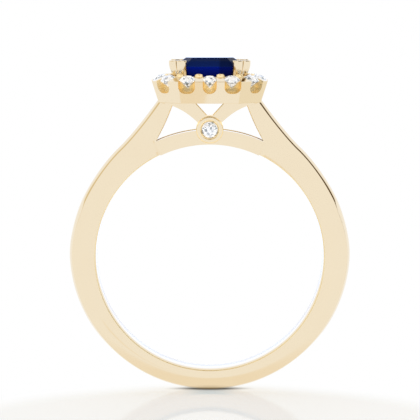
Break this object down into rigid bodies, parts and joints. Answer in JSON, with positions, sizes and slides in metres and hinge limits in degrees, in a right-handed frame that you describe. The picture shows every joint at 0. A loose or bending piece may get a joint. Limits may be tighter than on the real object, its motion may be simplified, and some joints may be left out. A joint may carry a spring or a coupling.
{
  "type": "engagement ring",
  "caption": "Yellow gold engagement ring: step-cut blue sapphire in paired claws, a halo of round diamonds, cathedral shoulders and a small bezel-set diamond in the pierced gallery.",
  "frame": {"origin": "centre of the finger hole, midway between the band's two flat side faces", "axes": "+Z from the finger hole to the sapphire, Y along the finger, +X across the finger"},
  "size_m": [0.0208, 0.0108, 0.0248],
  "materials": {
    "yellow_gold": "high-polish 18 carat yellow gold",
    "sapphire": "polished step-cut facets, deep royal blue",
    "diamond": "polished brilliant-cut facets, colourless"
  },
  "bodies": {
    "root": {"shank": "yellow_gold", "bridge_right": "yellow_gold", "bridge_left": "yellow_gold", "gallery_strut_right": "yellow_gold", "gallery_strut_left": "yellow_gold", "peekaboo_bezel": "yellow_gold", "peekaboo_diamond_front": "diamond", "peekaboo_diamond_back": "diamond", "halo_collet": "yellow_gold", "halo_diamond_01": "diamond", "halo_diamond_02": "diamond", "halo_diamond_03": "diamond", "halo_diamond_04": "diamond", "halo_diamond_05": "diamond", "halo_diamond_06": "diamond", "halo_diamond_07": "diamond", "halo_diamond_08": "diamond", "halo_diamond_09": "diamond", "halo_diamond_10": "diamond", "halo_diamond_11": "diamond", "halo_diamond_12": "diamond", "halo_diamond_13": "diamond", "halo_diamond_14": "diamond", "halo_diamond_15": "diamond", "halo_diamond_16": "diamond", "halo_diamond_17": "diamond", "halo_diamond_18": "diamond", "base_rail": "yellow_gold", "seat_rail": "yellow_gold", "centre_sapphire": "sapphire", "claw_front_left_a": "yellow_gold", "claw_front_left_b": "yellow_gold", "claw_front_right_a": "yellow_gold", "claw_front_right_b": "yellow_gold", "claw_back_left_a": "yellow_gold", "claw_back_left_b": "yellow_gold", "claw_back_right_a": "yellow_gold", "claw_back_right_b": "yellow_gold"}
  },
  "joints": []
}
